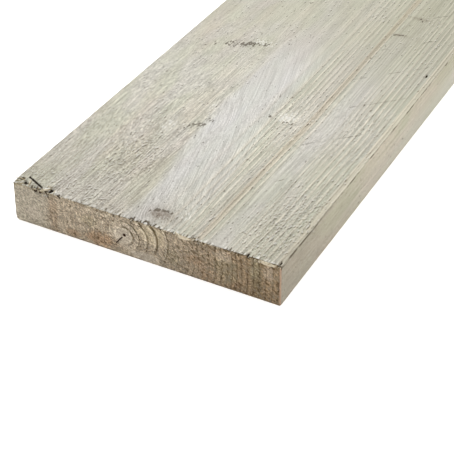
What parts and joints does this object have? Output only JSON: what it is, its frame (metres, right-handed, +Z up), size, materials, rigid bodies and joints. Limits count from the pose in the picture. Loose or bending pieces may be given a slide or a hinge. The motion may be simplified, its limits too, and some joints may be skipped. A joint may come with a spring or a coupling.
{
  "type": "sawn timber plank",
  "caption": "Rough-sawn softwood plank: one straight board of rectangular section with eased long arrises and square crosscut ends.",
  "frame": {"origin": "centre of the underside, the broad face that the plank lies on", "axes": "+X across the width, +Y along the grain with the end that shows the pith check at -Y, +Z up through the thickness"},
  "size_m": [0.195, 2, 0.03],
  "materials": {
    "wood": "rough-sawn, matt, pale grey-beige softwood"
  },
  "bodies": {
    "root": {"plank": "wood"}
  },
  "joints": []
}
